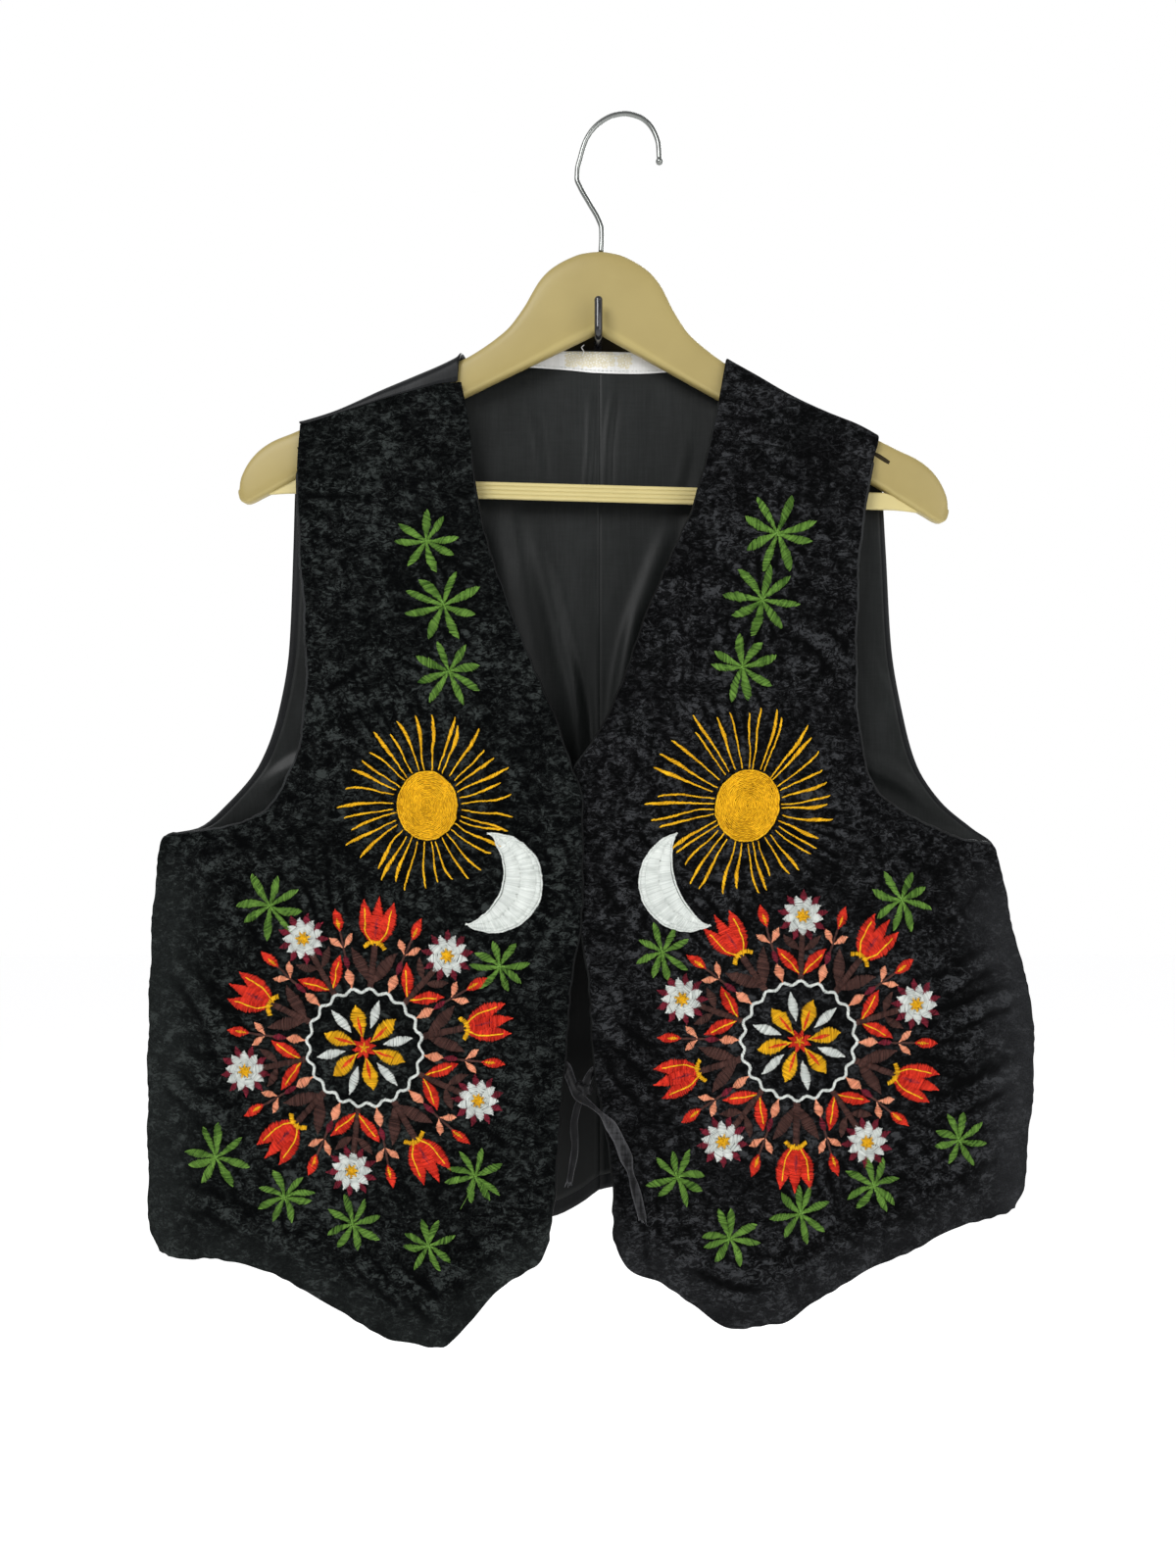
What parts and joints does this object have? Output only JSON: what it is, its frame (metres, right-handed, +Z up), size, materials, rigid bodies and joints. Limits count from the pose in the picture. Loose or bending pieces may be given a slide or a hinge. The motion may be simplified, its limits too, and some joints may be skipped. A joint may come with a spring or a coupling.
{
  "type": "embroidered waistcoat on a hanger",
  "caption": "Sleeveless V-neck waistcoat of crushed velvet with a satin back, pointed hems and raised flower embroidery, on a moulded hanger that hangs from a rod hook.",
  "frame": {"origin": "middle of the back face of the black wall plate, where the rod hook is fixed", "axes": "+X to the viewer's right, +Z up, +Y into the wall; the waistcoat hangs on the -Y side of the wall plane y = 0"},
  "size_m": [0.5605, 0.0664, 0.7707],
  "materials": {
    "velvet": "crushed pile with thread embroidery",
    "satin": "satin",
    "lining": "satin lining",
    "neck_tape": "woven tape",
    "tie": "satin tape",
    "beige_plastic": "moulded, half matt",
    "bar_plastic": "moulded, half matt",
    "chrome": "polished wire",
    "black_metal": "gloss black"
  },
  "bodies": {
    "root": {"front_left": "velvet", "front_right": "velvet", "back_left": "satin", "back_right": "satin", "lining_left": "lining", "lining_right": "lining", "neck_tape": "neck_tape", "tie_left": "tie", "tie_right": "tie", "hanger_body": "beige_plastic", "hanger_bar": "bar_plastic", "hanger_hook": "chrome", "wall_hook": "black_metal", "wall_plate": "black_metal"}
  },
  "joints": []
}
